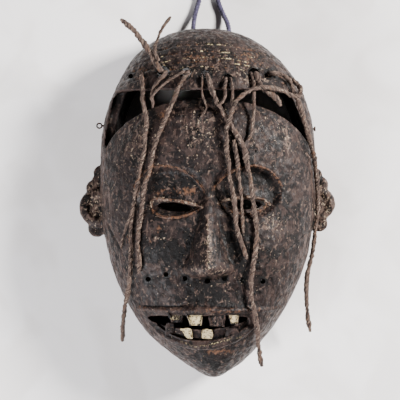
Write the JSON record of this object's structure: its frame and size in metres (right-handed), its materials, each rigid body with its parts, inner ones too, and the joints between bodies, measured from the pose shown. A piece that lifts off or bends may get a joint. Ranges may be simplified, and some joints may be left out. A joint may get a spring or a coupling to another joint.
{
  "type": "wall mask",
  "caption": "Carved wooden face mask with a hood, slit eyes and bared teeth, fibre strands hanging from its lip and a braided string to hang it by; hollow, flat back rim.",
  "frame": {"origin": "middle of the flat back rim, under the middle of the mask's box without its strands and string", "axes": "+Z out of the face, away from the wall; +Y up the face, towards the crown; +X to the viewer's right. The mask lies on its back rim at z = 0."},
  "size_m": [0.2059, 0.3274, 0.1051],
  "materials": {
    "carved_wood": "aged, dark, worn on the high edges",
    "plant_fibre": "dry twisted fibre",
    "braided_string": "faded braid",
    "iron": "dark, a little rusted"
  },
  "bodies": {
    "root": {"mask_body": "carved_wood", "pin_left": "iron", "pin_right": "iron", "hanging_string": "braided_string", "strand_tuft": "plant_fibre", "strand_tuft_branch": "plant_fibre", "strand_tuft_tail": "plant_fibre", "strand_long_left": "plant_fibre", "strand_long_left_split": "plant_fibre", "strand_curl": "plant_fibre", "strand_inner_left": "plant_fibre", "strand_thread": "plant_fibre", "strand_long_middle": "plant_fibre", "strand_fork_left": "plant_fibre", "strand_fork_right": "plant_fibre", "strand_long_right": "plant_fibre", "strand_short_right": "plant_fibre", "strand_straight": "plant_fibre", "strand_stub": "plant_fibre", "strand_outer_right": "plant_fibre"}
  },
  "joints": []
}
